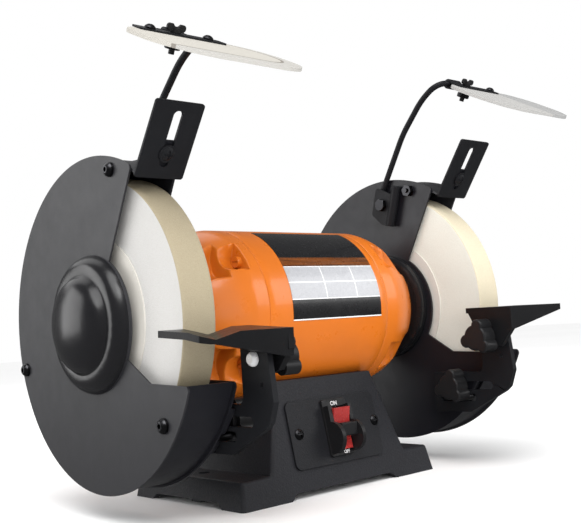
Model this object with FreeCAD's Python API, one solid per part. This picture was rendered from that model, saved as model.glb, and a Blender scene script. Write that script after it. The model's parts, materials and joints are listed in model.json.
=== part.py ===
import FreeCAD, Part
import math
import os

V = FreeCAD.Vector
os.makedirs("parts", exist_ok=True)

# ---------------------------------------------------------------- driving dimensions (mm)
SHAFT_H = 136.5            # shaft axis above the bench
WHEEL_R = 100.0            # 8 inch wheel
WHEEL_X0 = 137.6           # inner face of the wheel
WHEEL_W = 25.0
ARBOR_R = 7.94             # 5/8 inch arbor
BLOTTER_R = 57.6
BLOTTER_T = 0.8
FLANGE_R = 35.0

GUARD_R = 116.0            # guard plate radius
GUARD_CY = -4.5            # guard centre relative to the shaft
GUARD_CZ = -2.15
GUARD_IN0, GUARD_IN1 = 133.1, 134.9      # inner plate
GUARD_OUT0, GUARD_OUT1 = 168.8, 170.3    # cover plate
BAND_RO, BAND_RI = 114.0, 112.4
DOME_CY, DOME_CZ = -3.0, -2.0
DOME_A, DOME_FOOT, DOME_H = 33.0, 9.6, 13.2
COVER_BOLTS = [(-36.0, 100.4), (100.5, -31.9), (-83.6, -68.5)]

SHELL_R, SHELL_RI, SHELL_X = 65.0, 60.5, 62.0
BELL_END = 125.0
BELL_TAPER_X, BELL_TAPER_L, BELL_TAPER_D, BELL_TAPER_P = 73.15, 48.06, 33.67, 1.53
BELL_BOSS_R = 31.5
POCKET_R, POCKET_X, POCKET_FLOOR, POCKET_SLOPE = 12.5, 72.0, 52.05, 0.237
SCALLOP_R, SCALLOP_FLOOR, SCALLOP_X = 14.0, 45.0, 88.0
TIE_R = 57.5
TIE_ANGLES = [40.0, 140.0, 220.0, 320.0]
BEARING_X0, BEARING_X1 = 104.0, 118.0
GUARD_SCREW_R = 25.5

BASE_TOP = 84.5
BASE_FOOT_X, BASE_FOOT_Y = 76.5, 68.0
BASE_TOP_X, BASE_TOP_Y = 51.0, 50.8
PLINTH_X0, PLINTH_X1, PLINTH_Z = 100.3, 97.2, 20.0
PLINTH_Y1 = BASE_FOOT_Y - (BASE_FOOT_Y - BASE_TOP_Y) * PLINTH_Z / BASE_TOP   # front and back faces run through
BENCH_HOLE_X, BENCH_HOLE_R = 82.0, 4.5

DEFLECT_LEAN = 35.5        # deflector plane leans forward from vertical
REST_X0, REST_X1 = 113.2, 184.3
REST_Y_BACK, REST_Y_FRONT = -103.0, -146.0
REST_T = 4.2
PIVOT_Y, PIVOT_Z, PIVOT_R = -121.7, -31.0, 3.0
BRACKET_X0, BRACKET_X1 = 122.0, 126.5
SLIDE_Y, SLIDE_Z = -84.0, -70.5
PIN_Y, PIN_Z = -86.9, -80.2

ROD_R, ROD_X = 2.5, 130.2
CLAMP_Y, CLAMP_Z = -9.2, 91.0
ROD_PIN_Y, ROD_TOP_Z = -80.0, 187.7
LEFT_ROD_TURN = 5.0        # left rod stands this much further forward

SHIELD_W, SHIELD_L, SHIELD_CR, SHIELD_BACK_CR, SHIELD_T = 116.3, 71.0, 35.4, 26.0, 2.4
SHIELD_B0 = 5.6            # back edge of the shield in front of its pin
STRIP_B0, SCREW_B = 3.8, 10.0   # back edge of the clamp strip and its screw line
SHIELD_CX_R, SHIELD_CX_L = 183.4, 140.1
SHIELD_TILT_R, SHIELD_TILT_L = 29.1, 27.1

H = SHAFT_H
made = {}


# ---------------------------------------------------------------- helpers
def box(x0, x1, y0, y1, z0, z1):
    return Part.makeBox(x1 - x0, y1 - y0, z1 - z0, V(x0, y0, z0))


def cyl(p, d, r, l):
    return Part.makeCylinder(r, l, V(*p), V(*d))


def cylx(r, x0, x1, y=0.0, z=0.0):
    return Part.makeCylinder(r, x1 - x0, V(x0, y, H + z), V(1, 0, 0))


def face3(pts):
    return Part.Face(Part.makePolygon(pts + [pts[0]]))


def prism(pts, x0, x1):
    """Outline in (y, height above shaft), extruded along X."""
    return face3([V(x0, y, H + z) for y, z in pts]).extrude(V(x1 - x0, 0, 0))


def prismxy(pts, z0, z1):
    return face3([V(x, y, z0) for x, y in pts]).extrude(V(0, 0, z1 - z0))


def prismxz(pts, y0, y1):
    return face3([V(x, y0, z) for x, z in pts]).extrude(V(0, y1 - y0, 0))


def revx(pts, y=0.0, z=0.0):
    """Profile in (x, r), turned about an axis along X."""
    f = face3([V(x, y, H + z + r) for x, r in pts])
    return f.revolve(V(0, y, H + z), V(1, 0, 0), 360)


def hexx(af, x0, x1, y, z, turn=0.0):
    r = af / math.sqrt(3.0)
    pts = [(y + r * math.cos(math.radians(60 * i + turn)), z + r * math.sin(math.radians(60 * i + turn))) for i in range(6)]
    return prism(pts, x0, x1)


def frustum(z0, x0, y0, z1, x1, y1):
    lo = [V(-x0, -y0, z0), V(x0, -y0, z0), V(x0, y0, z0), V(-x0, y0, z0)]
    hi = [V(-x1, -y1, z1), V(x1, -y1, z1), V(x1, y1, z1), V(-x1, y1, z1)]
    faces = [face3(lo[::-1]), face3(hi)]
    for i in range(4):
        j = (i + 1) % 4
        faces.append(face3([lo[i], lo[j], hi[j], hi[i]]))
    s = Part.makeSolid(Part.makeShell(faces))
    if s.Volume < 0:
        s.reverse()
    return s


def fuse(a, *rest):
    s = a
    for b in rest:
        s = s.fuse(b)
    return s.removeSplitter()


def cut(a, *rest):
    s = a
    for b in rest:
        s = s.cut(b)
    return s


def rounded(s, r, pick):
    edges = [e for e in s.Edges if pick(e)]
    if not edges:
        return s
    try:
        t = s.makeFillet(r, edges)
        if t.isValid() and t.Volume > 0 and len(t.Solids) == len(s.Solids):
            return t
    except Exception:
        pass
    return s


def mir(s):
    return s.mirror(V(0, 0, 0), V(1, 0, 0))


def frame(o, a, b, c):
    m = FreeCAD.Matrix(a.x, b.x, c.x, o.x, a.y, b.y, c.y, o.y, a.z, b.z, c.z, o.z, 0, 0, 0, 1)
    return FreeCAD.Placement(m)


def put(s, pl):
    s = s.copy()
    s.Placement = pl.multiply(s.Placement)
    return s


def turned(s, y, z, deg):
    """Turn about an axis along X through (y, z above shaft)."""
    s = s.copy()
    s.rotate(V(0, y, H + z), V(1, 0, 0), deg)
    return s


def bent_rod(pts, radii, r):
    """Round rod along a polyline with a bend radius at each inner corner."""
    pts = [V(*p) for p in pts]
    edges = []
    start = pts[0]
    for i in range(1, len(pts) - 1):
        a = (pts[i - 1] - pts[i]).normalize()
        b = (pts[i + 1] - pts[i]).normalize()
        half = math.acos(max(-1, min(1, a.dot(b)))) / 2.0
        t = radii[i - 1] / math.tan(half)
        p0 = pts[i] + a * t
        p1 = pts[i] + b * t
        c = pts[i] + (a + b).normalize() * (radii[i - 1] / math.sin(half))
        mid = c + (pts[i] - c).normalize() * radii[i - 1]
        edges.append(Part.LineSegment(start, p0).toShape())
        edges.append(Part.Arc(p0, mid, p1).toShape())
        start = p1
    edges.append(Part.LineSegment(start, pts[-1]).toShape())
    path = Part.Wire(edges)
    d = (pts[1] - pts[0]).normalize()
    prof = Part.Wire(Part.makeCircle(r, pts[0], d))
    return path.makePipeShell([prof], True, False)


def save(name, *solids):
    out = []
    for s in solids:
        out.extend(s.Solids)
    for s in out:
        if not s.isValid():
            print("INVALID", name)
        if s.Volume <= 0:
            print("NEGATIVE", name)
    shape = out[0] if len(out) == 1 else Part.makeCompound(out)
    shape.exportStep("parts/%s.step" % name)
    made[name] = len(out)


def both(name, s):
    save("right_" + name, s)
    save("left_" + name, mir(s))


# ---------------------------------------------------------------- base
body = frustum(0, BASE_FOOT_X, BASE_FOOT_Y, BASE_TOP, BASE_TOP_X, BASE_TOP_Y)
plinth = frustum(0, PLINTH_X0, BASE_FOOT_Y, PLINTH_Z, PLINTH_X1, PLINTH_Y1)
base = fuse(body, plinth)
base = rounded(base, 3.0, lambda e: abs(e.CenterOfMass.x) > 60 and e.CenterOfMass.z > 5 and abs(e.CenterOfMass.y) > 50)
base = rounded(base, 2.0, lambda e: abs(e.CenterOfMass.z - PLINTH_Z) < 1.5 and abs(e.CenterOfMass.x) > 90)
base = rounded(base, 6.0, lambda e: abs(e.CenterOfMass.z - PLINTH_Z) < 1.5 and 60 < abs(e.CenterOfMass.x) < 80 and e.Length > 80)
hollow = frustum(-1, BASE_FOOT_X - 4.7, BASE_FOOT_Y - 4.8, 64, 52.2, 50.0)
under = frustum(-1, PLINTH_X0 - 4.8, BASE_FOOT_Y - 6.5, 14, 93.2, 59.0)
base = cut(base, hollow, under)
for sx in (-1, 1):
    base = base.fuse(cyl((sx * BENCH_HOLE_X, 0, 0), (0, 0, 1), 10.5, 18))
    for sy in (-1, 1):
        base = base.fuse(cyl((sx * 58, sy * 49, 8), (0, 0, 1), 5.5, 57))
base = base.common(fuse(body, plinth))
base = cut(base, cylx(SHELL_R + 0.05, -130, 130))
arch_x = [(-56.4, -0.5), (-49, 4.7), (49, 4.7), (56.4, -0.5)]
arch_y = [(-44.1, -0.5), (-38.4, 4.2), (38.4, 4.2), (44.1, -0.5)]
base = cut(base, prismxz(arch_x, -75, -60), prismxz(arch_x, 60, 75))
for sx in (-1, 1):
    side = face3([V(sx * 91, y, z) for y, z in arch_y]).extrude(V(sx * 14, 0, 0))
    base = cut(base, side)
    base = cut(base, cyl((sx * BENCH_HOLE_X, 0, -1), (0, 0, 1), BENCH_HOLE_R, 40))
    for sy in (-1, 1):
        base = cut(base, cyl((sx * 58, sy * 49, 5), (0, 0, 1), 2.0, 18))

# front face frame: x, s up the face, n outwards
lean = math.hypot(BASE_FOOT_Y - BASE_TOP_Y, BASE_TOP)
es = V(0, (BASE_FOOT_Y - BASE_TOP_Y) / lean, BASE_TOP / lean)
en = V(0, -es.z, es.y)
front = frame(V(0, -BASE_FOOT_Y, 0), V(1, 0, 0), es, en)
SWITCH_S, SWITCH_N = 45.5, 4.5
EAR_S, EAR_N, EAR_R = 38.8, 7.5, 11.8
base = cut(base, put(box(-15.5, 15.5, 27, 65, -9, 1), front))
plate_screws = [(-38.7, 45.7), (41.3, 47.0)]
for x, s in plate_screws:
    base = cut(base, put(cyl((x, s, -9), (0, 0, 1), 2.0, 12), front))
# motor bolts and cord inlet
MOTOR_BOLT_X = 46.0
for sx in (-1, 1):
    base = cut(base, cyl((sx * MOTOR_BOLT_X, 0, 60), (0, 0, 1), 3.0, 20))
GLAND_X, GLAND_Z = 42.0, 30.0
back = frame(V(0, BASE_FOOT_Y, 0), V(-1, 0, 0), V(0, -es.y, es.z), V(0, es.z, es.y))
GLAND_S = GLAND_Z / es.z
base = cut(base, put(cyl((-GLAND_X, GLAND_S, -9), (0, 0, 1), 8.0, 12), back))
save("base_pedestal", base.removeSplitter())

cover = box(-68.3, 68.3, -60.2, 60.2, 6, 8)
cover = rounded(cover, 6.0, lambda e: abs(e.CenterOfMass.z - 7) < 0.1)
for sx in (-1, 1):
    for sy in (-1, 1):
        cover = cut(cover, cyl((sx * 58, sy * 49, 5), (0, 0, 1), 2.0, 5))
save("bottom_cover", cover)

screws = []
for sx in (-1, 1):
    for sy in (-1, 1):
        screws.append(fuse(cyl((sx * 58, sy * 49, 3.6), (0, 0, 1), 4.0, 2.4), cyl((sx * 58, sy * 49, 6), (0, 0, 1), 2.0, 15)))
for x, s in plate_screws:
    head = Part.makeSphere(5.2, V(x, s, -1.0)).common(box(x - 5, x + 5, s - 5, s + 5, 1.8, 8))
    head = head.common(cyl((x, s, 1.8), (0, 0, 1), 4.1, 5))
    slot1 = box(x - 2.6, x + 2.6, s - 0.5, s + 0.5, 3.0, 8)
    slot2 = box(x - 0.5, x + 0.5, s - 2.6, s + 2.6, 3.0, 8)
    screws.append(put(fuse(cut(head, slot1, slot2), cyl((x, s, -8), (0, 0, 1), 2.0, 9.9)), front))
save("panel_screws", *screws)

sp = box(-47, 44.5, 20.3, 70, 0, 1.8)
sp = rounded(sp, 5.0, lambda e: abs(e.CenterOfMass.z - 0.9) < 0.01)
sp = cut(sp, box(-9.6, 9.4, 27.2, 64.8, -1, 3))
for x, s in plate_screws:
    sp = cut(sp, cyl((x, s, -1), (0, 0, 1), 2.0, 4))
save("switch_plate", put(sp, front))

bez = box(-12.6, 12.2, 25, 68, 1.8, 4.0)
bez = rounded(bez, 2.0, lambda e: abs(e.CenterOfMass.z - 2.9) < 0.01)
bez = rounded(bez, 0.6, lambda e: abs(e.CenterOfMass.z - 4.0) < 0.01)
for x0, x1 in ((-12.3, -8.7), (8.7, 11.9)):        # side cheeks, each with a round finger guard over the lower half
    cheek = box(x0, x1, 29.5, 62.6, 1.8, 9.6)
    ear = cyl((x0, EAR_S, EAR_N), (1, 0, 0), EAR_R, x1 - x0).common(box(x0 - 1, x1 + 1, 20, 70, 2.0, 30))
    bez = fuse(bez, cheek, ear)
stem = box(-9.6, 9.4, 27.2, 64.8, -24, 1.8)
bez = fuse(bez, stem, box(-14, 14, 28, 64, -24, -6.2))
bez = cut(bez, box(-8.7, 8.7, 29, 62, -3.5, 22))
for sx in (-1, 1):
    bez = cut(bez, cyl((sx * 8.0, SWITCH_S, SWITCH_N), (sx, 0, 0), 1.55, 2.2))
terms = [box(x - 0.4, x + 0.4, s - 3, s + 3, -31, -24) for x in (-6, 6) for s in (38, 54)]
save("switch_body", put(fuse(bez, *terms), front))

# rocker and key in a frame turned about the rocker axis
ROCK = 10.0
ca, sa = math.cos(math.radians(ROCK)), math.sin(math.radians(ROCK))
rock = front.multiply(FreeCAD.Placement(FreeCAD.Matrix(1, 0, 0, 0, 0, ca, -sa, SWITCH_S, 0, sa, ca, SWITCH_N, 0, 0, 0, 1)))
pts = [(-15.5, 0.5), (-15.5, 5.0), (-7, 3.5), (0, 3.1), (7, 3.5), (15.5, 5.0), (15.5, 0.5), (3, -1.8), (-3, -1.8)]
rk = face3([V(-8.3, a, b) for a, b in pts]).extrude(V(16.6, 0, 0))
rk = rounded(rk, 0.6, lambda e: e.CenterOfMass.z > 3.0 and abs(e.CenterOfMass.x) > 8.2)
rk = fuse(rk, cyl((-9.9, 0, 0), (1, 0, 0), 1.5, 19.8))
rk = cut(rk, box(-5.4, 5.4, -1.6, 1.6, -9, 9))
save("switch_rocker", put(rk, rock))

grip = box(-8.1, 8.1, -5.6, 4.4, 6.5, 11.5)
grip = rounded(grip, 1.2, lambda e: abs(e.CenterOfMass.z - 11.5) < 0.01)
grip = cut(grip, cyl((5.2, -8, 9.2), (0, 1, 0), 1.2, 16))
key = fuse(grip, box(-5, 5, -1.25, 1.25, -4.0, 6.6))
save("switch_key", put(key, rock))

# capacitor and cord gland
cap = fuse(cyl((-30, 22, 25.1), (1, 0, 0), 17.0, 58), cyl((28, 22, 25.1), (1, 0, 0), 14.0, 3))
cap = rounded(cap, 2.0, lambda e: abs(e.CenterOfMass.x + 30) < 0.1)
cap = fuse(cap, box(31, 38, 15.6, 16.4, 21, 29), box(31, 38, 27.6, 28.4, 21, 29))
save("start_capacitor", cap)
gl = fuse(cyl((-GLAND_X, GLAND_S, -14), (0, 0, 1), 8.0, 15), cyl((-GLAND_X, GLAND_S, 0), (0, 0, 1), 12.0, 3.0), cyl((-GLAND_X, GLAND_S, 3), (0, 0, 1), 9.0, 9))
nutg = Part.makePolygon([V(-GLAND_X + 12.5 * math.cos(math.radians(60 * i)), GLAND_S + 12.5 * math.sin(math.radians(60 * i)), -9.4) for i in range(7)])
gl = fuse(gl, Part.Face(nutg).extrude(V(0, 0, 4.2)))
gl = cut(gl, cyl((-GLAND_X, GLAND_S, -20), (0, 0, 1), 4.2, 40))
gl = rounded(gl, 1.5, lambda e: abs(e.CenterOfMass.z - 12) < 0.1 and e.Length > 40)
save("cord_gland", put(gl, back))

# ---------------------------------------------------------------- motor
shell = cut(cylx(SHELL_R, -SHELL_X, SHELL_X), cylx(SHELL_RI, -SHELL_X - 1, SHELL_X + 1))
for sx in (-1, 1):
    shell = cut(shell, cyl((sx * MOTOR_BOLT_X, 0, 65), (0, 0, 1), 3.0, 20))
save("motor_shell", shell)

bolts = []
for sx in (-1, 1):
    bolts.append(fuse(cyl((sx * MOTOR_BOLT_X, 0, 59.0), (0, 0, 1), 5.0, 5.0), cyl((sx * MOTOR_BOLT_X, 0, 63.5), (0, 0, 1), 3.0, 12.0)))
save("motor_base_bolts", *bolts)

def bell_r(x):
    u = min(1.0, max(0.0, (x - BELL_TAPER_X) / BELL_TAPER_L))
    return SHELL_R - BELL_TAPER_D * (1.0 - (1.0 - u ** BELL_TAPER_P) ** (1.0 / BELL_TAPER_P))


out_pts = [(62, SHELL_R)] + [(x, bell_r(x)) for x in (73.15, 76, 79, 82, 85, 88, 91, 94, 97, 100, 103, 106, 109, 112, 114.5, 116.5, 118, 119.2, 120.2)] + [(121.0, BELL_BOSS_R), (BELL_END, BELL_BOSS_R)]
solid_bell = revx([(62, 0)] + out_pts + [(BELL_END, 0)])
cav = revx([(61.9, 0), (61.9, SHELL_RI), (73, 60.0), (80, 58.6), (85, 56.8), (90, 54.5), (95, 51.6), (100, 48.2), (104, 44.8), (107, 41.0), (107.5, 38), (107.5, 28.5), (103, 28.5), (103, 0)])
bell = cut(solid_bell, cav)


def pocket_tool(r, x0, floor, slope, x1, a):
    """Round channel that starts at x0 with its floor at a radius and climbs outwards."""
    k = math.hypot(1.0, slope)
    y, z = math.cos(math.radians(a)), math.sin(math.radians(a))
    r0 = floor + r * k - slope * 30.0
    c = Part.makeCylinder(r, (x1 - x0 + 60.0) * k, V(x0 - 30.0, r0 * y, H + r0 * z), V(1, slope * y, slope * z))
    return c.common(cylx(140, x0, x1))


for a in TIE_ANGLES:
    bell = bell.fuse(pocket_tool(POCKET_R + 3.4, 62, POCKET_FLOOR - 3.4 - 10 * POCKET_SLOPE, POCKET_SLOPE, 100, a).common(solid_bell))
    bell = bell.fuse(pocket_tool(SCALLOP_R + 3.5, SCALLOP_X - 4, SCALLOP_FLOOR - 3.5, 0.0, 118, a).common(solid_bell))
for a in TIE_ANGLES:
    bell = cut(bell, pocket_tool(POCKET_R, POCKET_X, POCKET_FLOOR, POCKET_SLOPE, 130, a))
    bell = cut(bell, pocket_tool(SCALLOP_R, SCALLOP_X, SCALLOP_FLOOR, 0.0, 130, a))
    y, z = TIE_R * math.cos(math.radians(a)), TIE_R * math.sin(math.radians(a))
    bell = cut(bell, cylx(2.5, 60, 80, y, z))
bell = cut(bell, cylx(23.5, 95, BEARING_X1), cylx(10.6, 95, 130))
GUARD_SCREWS = [(GUARD_SCREW_R * math.cos(math.radians(a)), GUARD_SCREW_R * math.sin(math.radians(a))) for a in (45, 135, 225, 315)]
for y, z in GUARD_SCREWS:
    bell = cut(bell, cylx(2.5, 119, 126, y, z))
bell = bell.removeSplitter()
both("end_bell", bell)

ties = []
for a in TIE_ANGLES:
    y, z = TIE_R * math.cos(math.radians(a)), TIE_R * math.sin(math.radians(a))
    t = fuse(cylx(2.5, -72, 72, y, z), cylx(4.2, -75.6, -72, y, z), hexx(7.0, 72, 75.6, y, z))
    t = cut(t, prism([(y - 3.5, z - 0.5), (y + 3.5, z - 0.5), (y + 3.5, z + 0.5), (y - 3.5, z + 0.5)], -80, -74.3))
    ties.append(t)
save("housing_through_bolts", *ties)

N_SLOT = 12
stator = cut(cylx(SHELL_RI, -35, 35), cylx(34.0, -36, 36))
for a in TIE_ANGLES:
    y, z = (TIE_R + 1) * math.cos(math.radians(a)), (TIE_R + 1) * math.sin(math.radians(a))
    stator = cut(stator, cylx(4.0, -36, 36, y, z))
bars = []
for i in range(N_SLOT):
    a = 360.0 / N_SLOT * (i + 0.5)
    b = box(-35, 35, -3.0, 3.0, H + 36.5, H + 47.0)
    b = turned(b, 0, 0, a)
    stator = cut(stator, b)
    bars.append(turned(box(-38, 38, -2.8, 2.8, H + 38.0, H + 46.5), 0, 0, a))
save("stator_core", stator)
wind = []
for x0, x1 in ((-57, -35), (35, 57)):
    ring = cut(cylx(50.0, x0, x1), cylx(36.5, x0 - 1, x1 + 1))
    ring = rounded(ring, 5.0, lambda e: abs(abs(e.CenterOfMass.x) - 57) < 0.1)
    wind.append(ring)
save("stator_windings", fuse(wind[0], wind[1], *bars))

races_o, races_i, cages = [], [], []
for sx in (-1, 1):
    x0, x1 = sorted((sx * BEARING_X0, sx * BEARING_X1))
    xm = 0.5 * (x0 + x1)
    races_o.append(cut(cylx(23.5, x0, x1), cylx(19.4, x0 - 1, x1 + 1)))
    races_i.append(cut(cylx(13.6, x0, x1), cylx(10.0, x0 - 1, x1 + 1)))
    cage = cut(cylx(17.4, xm - 1.5, xm + 1.5), cylx(15.6, xm - 2, xm + 2))
    for i in range(8):
        a = math.radians(45 * i)
        cage = cage.fuse(Part.makeSphere(2.8, V(xm, 16.5 * math.cos(a), H + 16.5 * math.sin(a))))
    cages.append(cage.removeSplitter())
save("bearing_outer_races", *races_o)
save("bearing_ball_cages", *cages)
save("bearing_inner_races", *races_i)

rating = cut(cylx(SHELL_R + 0.35, -40, 54), cylx(SHELL_R, -41, 55))
wedge = [(0, 0)] + [(-90 * math.cos(math.radians(a)), 90 * math.sin(math.radians(a))) for a in (-7.6, 10, 30, 50, 70)]
save("rating_plate", rating.common(prism(wedge, -60, 60)))

# ---------------------------------------------------------------- spindle
shaft = fuse(cylx(12.0, -BEARING_X0, BEARING_X0), cylx(10.0, -129.5, 129.5), cylx(ARBOR_R, -186, 186))
shaft = rounded(shaft, 1.0, lambda e: abs(abs(e.CenterOfMass.x) - 186) < 0.1)
save("arbor_shaft", shaft)
save("rotor_core", cut(cylx(33.6, -42, 42), cylx(12.0, -43, 43)))

wheel = cut(cylx(WHEEL_R, WHEEL_X0, WHEEL_X0 + WHEEL_W), cylx(ARBOR_R, WHEEL_X0 - 1, WHEEL_X0 + WHEEL_W + 1))
wheel = rounded(wheel, 0.8, lambda e: e.Length > 500)
both("grinding_wheel", wheel)
WHEEL_X1 = WHEEL_X0 + WHEEL_W
blot, flanges, nuts = [], [], []
for x0, x1 in ((WHEEL_X0 - BLOTTER_T, WHEEL_X0), (WHEEL_X1, WHEEL_X1 + BLOTTER_T)):
    b = cut(cylx(BLOTTER_R, x0, x1), cylx(ARBOR_R, x0 - 1, x1 + 1))
    blot += [b, mir(b)]
fi = revx([(129.5, ARBOR_R), (129.5, 14), (131.2, 14), (131.2, FLANGE_R - 2), (132.6, FLANGE_R), (136.8, FLANGE_R), (136.8, ARBOR_R)])
fo = revx([(163.4, ARBOR_R), (163.4, FLANGE_R), (166.2, FLANGE_R), (167.4, FLANGE_R - 2), (168.5, 20), (168.5, ARBOR_R)])
nut = cut(hexx(24.0, 168.5, 179.5, 0, 0), cylx(ARBOR_R, 168, 181))
nut = nut.common(revx([(168.5, 0), (168.5, 13.0), (169.3, 14.2), (178.7, 14.2), (179.5, 13.0), (179.5, 0)]))
for s in (fi, fo):
    flanges += [s, mir(s)]
save("wheel_blotters", *blot)
save("wheel_flanges", *flanges)
save("arbor_nuts", nut, mir(nut))

# ---------------------------------------------------------------- guards
front_open = [(-96, 158), (-60, 96), (-28.5, 40), (-20, 25), (-35, -21.4), (-70, -42.5), (-106, -44), (-150, -45.5), (-150, 158)]
lean = math.radians(DEFLECT_LEAN)
er = V(0, -math.sin(lean), math.cos(lean))
nf = V(0, -math.cos(lean), -math.sin(lean))


def on_plane(r, n):
    return (er.y * r + nf.y * n, er.z * r + nf.z * n)


band_open = [on_plane(190, -0.6), on_plane(20, -0.6), (-35, -21.4), (-70, -42.5), (-106, -44), (-150, -45.5), (-190, 60)]


def guard_disc(x0, x1):
    d = cylx(GUARD_R, x0, x1, GUARD_CY, GUARD_CZ)
    gone = cut(prism(front_open, x0 - 1, x1 + 1), cylx(48.2, x0 - 2, x1 + 2, DOME_CY, DOME_CZ))
    return cut(d, gone)


inner = guard_disc(GUARD_IN0, GUARD_IN1)
inner = rounded(inner, 3.0, lambda e: abs(e.CenterOfMass.x - 134.0) < 0.01 and e.CenterOfMass.y < -50)
inner = cut(inner, cylx(42.4, 130, 140))
band = cut(cylx(BAND_RO, GUARD_IN1 - 0.4, GUARD_OUT0, GUARD_CY, GUARD_CZ), cylx(BAND_RI, 130, 175, GUARD_CY, GUARD_CZ), prism(band_open, 130, 175))
hub = revx([(134.9, 42.4), (134.9, 46.0), (128.8, 46.0), (127.4, 45.4), (126.4, 44.0), (125.8, 42), (125.0, 40), (125.0, 14), (127.2, 14), (127.2, 40.6), (128.4, 42.0), (129.2, 42.4)])
pad = prism([(-104, -92), (-58, -92), (-58, -62), (-104, -62)], 126.6, GUARD_IN0 + 0.3).common(cylx(BAND_RO, 120, 140, GUARD_CY, GUARD_CZ))
pad = rounded(pad, 2.0, lambda e: abs(e.CenterOfMass.x - 126.6) < 0.01)
defl = frame(V(0, 0, H), V(1, 0, 0), er, nf)
tab = put(box(139, 166, 111.5, 138.6, -2.0, 0), defl)
tab = rounded(tab, 4.0, lambda e: abs(e.Length - 2.0) < 0.01 and e.CenterOfMass.z > H + 100)
inner = fuse(inner, band, hub, pad, tab)
for y, z in GUARD_SCREWS:
    inner = cut(inner, cylx(2.5, 120, 130, y, z))
for i, (y, z) in enumerate(COVER_BOLTS):
    inner = cut(inner, cylx(2.0, 132.2, 140, y, z))
inner = cut(inner, cylx(3.0, 130, 137, CLAMP_Y, CLAMP_Z))
inner = cut(inner, cylx(3.05, 120, 131.6, SLIDE_Y, SLIDE_Z))
inner = cut(inner, cylx(2.9, 120, 133.0, PIN_Y, PIN_Z))
DEFL_SCREW_R = 130.5
DEFL_SCREW_X = 152.0
inner = cut(inner, put(cyl((DEFL_SCREW_X, DEFL_SCREW_R, -4), (0, 0, 1), 2.5, 6), defl))
both("inner_guard", inner)

ocov = guard_disc(GUARD_OUT0, GUARD_OUT1)
ocov = rounded(ocov, 3.0, lambda e: abs(e.CenterOfMass.x - 169.55) < 0.01 and e.CenterOfMass.y < -50)
ocov = cut(ocov, cylx(46.6, 160, 180, DOME_CY, DOME_CZ))
outer_prof = [(48.0, 0.0), (47.5, 2.2), (46.3, 4.6), (44.4, 6.9), (42.0, 8.7), (39.5, 9.6), (36.5, 9.75), (34.4, 9.5)]
for i in range(1, 13):
    t = math.radians(90.0 * i / 12)
    outer_prof.append((DOME_A * math.cos(t), DOME_FOOT + DOME_H * math.sin(t)))
outer_prof[-1] = (0.0, DOME_FOOT + DOME_H)
inner_prof = [(46.4, -1.5), (46.0, 1.6), (44.9, 3.8), (43.2, 5.8), (41.2, 7.3), (39.2, 8.1), (36.5, 8.25), (33.9, 8.05)]
for i in range(1, 13):
    t = math.radians(90.0 * i / 12)
    inner_prof.append(((DOME_A - 1.6) * math.cos(t), DOME_FOOT - 1.4 + (DOME_H - 0.1) * math.sin(t)))
inner_prof[-1] = (0.0, DOME_FOOT + DOME_H - 1.5)
prof = [(GUARD_OUT1 - 1.5, 48.0)] + [(GUARD_OUT1 + h, r) for r, h in outer_prof] + [(GUARD_OUT1 + h, r) for r, h in reversed(inner_prof)]
ocov = fuse(ocov, revx(prof, DOME_CY, DOME_CZ))
for y, z in COVER_BOLTS:
    ocov = cut(ocov, cylx(2.0, 160, 180, y, z))
both("guard_cover", ocov)

cb = []
for i, (y, z) in enumerate(COVER_BOLTS):
    end = 132.3 if i == 2 else 126.8
    head = Part.makeSphere(5.5, V(GUARD_OUT1 - 0.9, y, H + z)).common(cylx(5.0, GUARD_OUT1, GUARD_OUT1 + 4.0, y, z))
    head = cut(head, hexx(3.2, GUARD_OUT1 + 2.2, 180, y, z))
    b = fuse(head, cylx(2.0, end, GUARD_OUT1 + 0.2, y, z))
    cb += [b, mir(b)]
    if i < 2:
        n = cut(hexx(9.0, 128.6, GUARD_IN0, y, z, 15), cylx(2.0, 125, 140, y, z))
        cb += [n, mir(n)]
save("guard_cover_bolts", *cb)

gs = []
for y, z in GUARD_SCREWS:
    s = fuse(cylx(2.5, 119.2, 127.2, y, z), cylx(4.4, 127.2, 129.6, y, z))
    s = cut(s, prism([(y - 3.5, z - 0.6), (y + 3.5, z - 0.6), (y + 3.5, z + 0.6), (y - 3.5, z + 0.6)], 128.6, 131))
    gs += [s, mir(s)]
save("guard_mount_screws", *gs)
gp = rounded(cylx(2.9, 121.0, 133.0, PIN_Y, PIN_Z), 0.6, lambda e: abs(e.CenterOfMass.x - 121) < 0.1)
save("rest_guide_pins", gp, mir(gp))

# ---------------------------------------------------------------- spark deflectors
dp = box(133.6, 171.4, 112.3, 166.4, 0, 2.0)
dp = rounded(dp, 2.0, lambda e: abs(e.Length - 2.0) < 0.01)
slot = fuse(box(DEFL_SCREW_X - 3.4, DEFL_SCREW_X + 3.4, 124, 156.6, -1, 4), cyl((DEFL_SCREW_X, 124, -1), (0, 0, 1), 3.4, 5), cyl((DEFL_SCREW_X, 156.6, -1), (0, 0, 1), 3.4, 5))
both("spark_deflector", put(cut(dp, slot), defl))
dh = Part.makeSphere(6.4, V(DEFL_SCREW_X, DEFL_SCREW_R, -1.0)).common(cyl((DEFL_SCREW_X, DEFL_SCREW_R, 3.1), (0, 0, 1), 4.8, 5))
dh = cut(dh, box(DEFL_SCREW_X - 3, DEFL_SCREW_X + 3, DEFL_SCREW_R - 0.6, DEFL_SCREW_R + 0.6, 4.3, 9), box(DEFL_SCREW_X - 0.6, DEFL_SCREW_X + 0.6, DEFL_SCREW_R - 3, DEFL_SCREW_R + 3, 4.3, 9))
ds = fuse(dh, cyl((DEFL_SCREW_X, DEFL_SCREW_R, 2.06), (0, 0, 1), 6.2, 1.1), cyl((DEFL_SCREW_X, DEFL_SCREW_R, -4.5), (0, 0, 1), 2.5, 7))
ds = put(ds, defl)
save("spark_deflector_screws", ds, mir(ds))

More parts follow.
